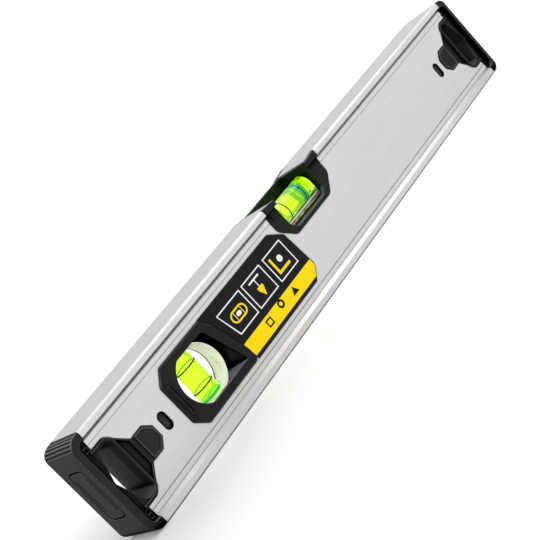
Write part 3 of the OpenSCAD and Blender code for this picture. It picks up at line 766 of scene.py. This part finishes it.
def make_stripe():
    """The filled stripe at the label's foot; its far corner is cut off as the label's is."""
    left, right = LABEL_LOW.x / MM, LABEL_HIGH.x / MM - STRIPE_RIGHT
    print_on("label_stripe", [[(left + STRIPE_LEFT_FOOT, STRIPE_FOOT), (right - STRIPE_CUT, STRIPE_FOOT),
                               (right, STRIPE_FOOT + STRIPE_CUT), (right - STRIPE_LEAN, STRIPE_TOP),
                               (left + STRIPE_LEFT_TOP, STRIPE_TOP)]], YELLOW)


def make_vial_mark(x, z):
    """A lying vial: its outline, its bubble and a tick on each side of that."""
    half, r, line = 6.4, 3.4, 1.0
    bubble_half, bubble_r = 1.9, 1.2
    tick_x, tick_half_w, tick_half_h = 2.9, 0.25, 2.3
    print_on("motif_vial", [capsule_loop(x, z, half, r), capsule_loop(x, z, half - line, r - line)], YELLOW)
    print_on("motif_vial_bubble", [capsule_loop(x, z, bubble_half, bubble_r)], WHITE)
    for side in (-1, 1):
        print_on(f"motif_vial_tick_{side + 2}", [box_loop(x + side * tick_x, z, tick_half_w, tick_half_h)],
                 YELLOW)


def make_bob_mark(x, z):
    """A plumb bob that hangs from a bar on its line."""
    tip, shoulder, top, half = z - 5.8, z - 1.2, z + 0.4, 2.4
    bar_z, bar_half_w, bar_half_h = z + 5.1, 4.6, 0.5
    line_half_w, line_half_h = 0.3, 2.1
    print_on("motif_bob_bar", [box_loop(x, bar_z, bar_half_w, bar_half_h)], WHITE)
    print_on("motif_bob_line", [box_loop(x, top + line_half_h, line_half_w, line_half_h)], WHITE)
    print_on("motif_bob", [[(x, tip), (x + half, shoulder), (x + half, top), (x - half, top),
                            (x - half, shoulder)]], YELLOW)


def make_angle_mark(x, z):
    """A right angle with a dot inside it."""
    left, right, foot, top, line = x - 5.4, x + 5.4, z - 5.0, z + 5.2, 1.6
    dot_x, dot_z, dot_r = x + 1.4, z + 1.2, 2.0
    print_on("motif_angle", [[(left, foot), (right, foot), (right, foot + line), (left + line, foot + line),
                              (left + line, top), (left, top)]], YELLOW)
    print_on("motif_angle_dot", [circle_loop(dot_x, dot_z, dot_r)], WHITE)


def make_stripe_marks(z):
    """A square and a round outline and a filled wedge."""
    half_w, half_h, line = 2.4, 2.2, 0.9
    print_on("motif_square", [box_loop(SQUARE_X, z, half_w, half_h),
                              box_loop(SQUARE_X, z, half_w - line, half_h - line)], BLACK, 1)
    disc_z, disc_r, hole_r = z + 1.4, 2.5, 1.2
    print_on("motif_disc", [circle_loop(DISC_X, disc_z, disc_r),
                            circle_loop(DISC_X, disc_z, hole_r)], BLACK, 1)
    foot, tip, half = z - 2.0, z + 2.4, 2.8
    print_on("motif_wedge", [[(WEDGE_X - half, foot), (WEDGE_X + half, foot), (WEDGE_X, tip)]], BLACK, 1)


def make_motifs():
    """Plain marks in the fields and on the stripe."""
    field_z = (FIELD_FOOT + FIELD_TOP) / 2
    make_vial_mark(VIAL_X, field_z)
    make_bob_mark(BOB_X, field_z)
    make_angle_mark(ANGLE_X, field_z)
    make_stripe_marks((STRIPE_FOOT + STRIPE_TOP) / 2 + STRIPE_MARKS_UP)


# Light and floor

# How far the floor reaches, and how far it lies under the level, so that no two faces share a plane
FLOOR_REACH = 30
FLOOR_DROP = 0.02 * MM
# The floor's colour beside the level's near end, darker there as a painted shadow, and away from it, and the
# distances between which it changes
FLOOR_PAINTED_SHADOW, FLOOR_AWAY = grey(0.84), grey(0.93)
FLOOR_START, FLOOR_END = 0.01, 0.10
# How much whiter than its lit colour the floor looks to the camera beside that end and away from it, and the
# distances between which this changes. The smaller lift beside that end leaves the floor there darker, as
# painted shadow.
LIFT_NEAR, LIFT_AWAY = 0.09, 0.36
LIFT_START, LIFT_END = 0.04, 0.17
NEAR_END = (CAD_BOX[0][0], 0, 0)
# Strength of the world's light on surfaces
WORLD_FILL = 0.68
# Name, direction towards it, strength and width in degrees of each soft sun
SUNS = (("key", (0.25, -0.95, 0.45), 0.6, 40), ("front", (-0.7, -0.7, 0.5), 0.35, 35))
OVERHEAD_PLACE = (0.75, -0.25, 1.05)
OVERHEAD_SIZE = (0.9, 0.35)
OVERHEAD_POWER = 2.0
PLAIN_WHITE = (1, 1, 1, 1)


def floor_finish():
    """A pale floor that turns white to the camera and through clear parts away from the level's near end, and
    stays darker beside that end as painted shadow.
    """
    f = Finish("floor", FLOOR_AWAY, Roughness=0.8, Specular_IOR_Level=0, Emission_Color=PLAIN_WHITE)
    away = f.add("ShaderNodeVectorMath", operation="DISTANCE")
    away.inputs[1].default_value = NEAR_END
    f.link(f.place, away.inputs[0])
    distance = away.outputs["Value"]
    # Painted shadow: the floor is darker beside the level's near end
    f.feed("Base Color", f.mix(f.ramp(distance, FLOOR_START, FLOOR_END), FLOOR_PAINTED_SHADOW, FLOOR_AWAY))
    lift = f.ramp(distance, LIFT_START, LIFT_END, LIFT_NEAR, LIFT_AWAY)
    f.feed("Emission Strength", f.product(f.seen_by("Is Camera Ray", "Is Transmission Ray"), lift))
    return f.material


def make_floor():
    """One square face under the level."""
    mesh = bmesh.new()
    corners = [(x * FLOOR_REACH, y * FLOOR_REACH, -FLOOR_DROP) for x, y in SQUARE_CORNERS]
    mesh.faces.new([mesh.verts.new(corner) for corner in corners])
    data = bpy.data.meshes.new("floor")
    mesh.to_mesh(data)
    mesh.free()
    data.materials.append(floor_finish())
    placed("floor", data)


def make_world():
    """White to the camera, in reflections and through clear parts, and softer as light on surfaces."""
    world = bpy.data.worlds.new("studio")
    bpy.context.scene.world = world
    world.use_nodes = True
    tree = Nodes(world.node_tree)
    fill = tree.nodes["Background"]
    fill.inputs["Color"].default_value = PLAIN_WHITE
    fill.inputs["Strength"].default_value = WORLD_FILL
    backdrop = tree.add("ShaderNodeBackground")
    backdrop.inputs["Color"].default_value = PLAIN_WHITE
    seen = tree.seen_by("Is Camera Ray", "Is Glossy Ray", "Is Transmission Ray")
    tree.end_in("World Output", seen, fill.outputs[0], backdrop.outputs[0])


def make_lamp(name, kind, towards, strength):
    """A lamp that shines from the given direction."""
    data = bpy.data.lights.new(name, kind)
    data.energy = strength
    lamp = placed(name, data)
    lamp.rotation_euler = Vector(towards).to_track_quat("Z", "Y").to_euler()
    return lamp


def make_lamps():
    """Two soft suns and a broad lamp overhead."""
    for name, towards, strength, width in SUNS:
        make_lamp(name, "SUN", towards, strength).data.angle = math.radians(width)
    overhead = make_lamp("overhead", "AREA", OVERHEAD_PLACE, OVERHEAD_POWER)
    overhead.location = OVERHEAD_PLACE
    overhead.data.shape = "RECTANGLE"
    overhead.data.size, overhead.data.size_y = OVERHEAD_SIZE


make_camera()
dress(ALLOY, "beam")
dress(CAP, "left_end_cap", "right_end_cap")
dress(LATCH, "left_front_latch", "left_back_latch", "right_front_latch", "right_back_latch")
dress(FRAME, "plumb_front_bezel", "plumb_back_bezel", "level_front_frame", "level_back_frame")
dress(FILM, "label")
make_vials()
make_frames()
make_stripe()
make_motifs()
make_floor()
make_world()
make_lamps()
bpy.context.scene.view_settings.view_transform = "Standard"

bpy.context.view_layer.update()
